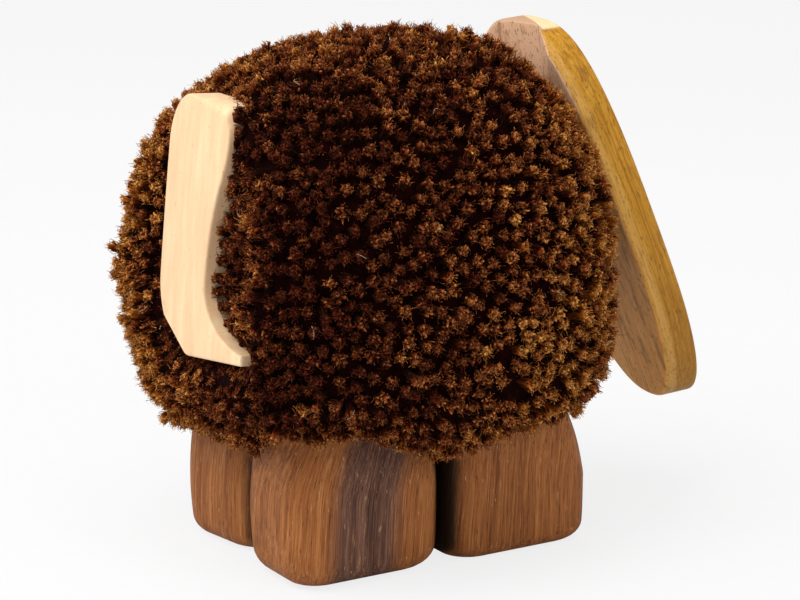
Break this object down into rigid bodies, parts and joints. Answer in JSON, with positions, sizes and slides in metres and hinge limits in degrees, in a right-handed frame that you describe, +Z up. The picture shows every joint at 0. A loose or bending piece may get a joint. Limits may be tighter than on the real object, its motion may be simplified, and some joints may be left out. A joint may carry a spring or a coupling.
{
  "type": "dog figurine",
  "caption": "Standing dog figurine with a woolly pile body on a hidden core, chunky block legs, a long oval face board and a hooked tail board, to stand on a shelf.",
  "frame": {"origin": "on the surface that the dog stands on, under the middle of its box", "axes": "+Z up, the dog looks along -Y, its left side is at +X"},
  "size_m": [0.0776, 0.1042, 0.0912],
  "materials": {
    "wool": "thick cut pile of brown wool",
    "dark_wood": "oiled dark hardwood",
    "pale_wood": "sanded pale hardwood",
    "board_wood": "oiled honey coloured hardwood",
    "core_wood": "plain unfinished softwood",
    "black_wood": "turned wood stained black",
    "twine": "waxed twine"
  },
  "bodies": {
    "root": {"wool_pile": "wool", "body_core": "core_wood", "binding_cord": "twine", "rear_right_leg": "dark_wood", "rear_left_leg": "dark_wood", "front_right_leg": "dark_wood", "front_left_leg": "dark_wood", "rear_right_leg_dowel": "core_wood", "rear_left_leg_dowel": "core_wood", "front_right_leg_dowel": "core_wood", "front_left_leg_dowel": "core_wood", "tail": "pale_wood", "tail_dowel_lower": "core_wood", "tail_dowel_upper": "core_wood", "head_board": "board_wood", "head_dowel_right": "core_wood", "head_dowel_left": "core_wood", "right_eye": "black_wood", "left_eye": "black_wood", "nose": "black_wood"}
  },
  "joints": []
}
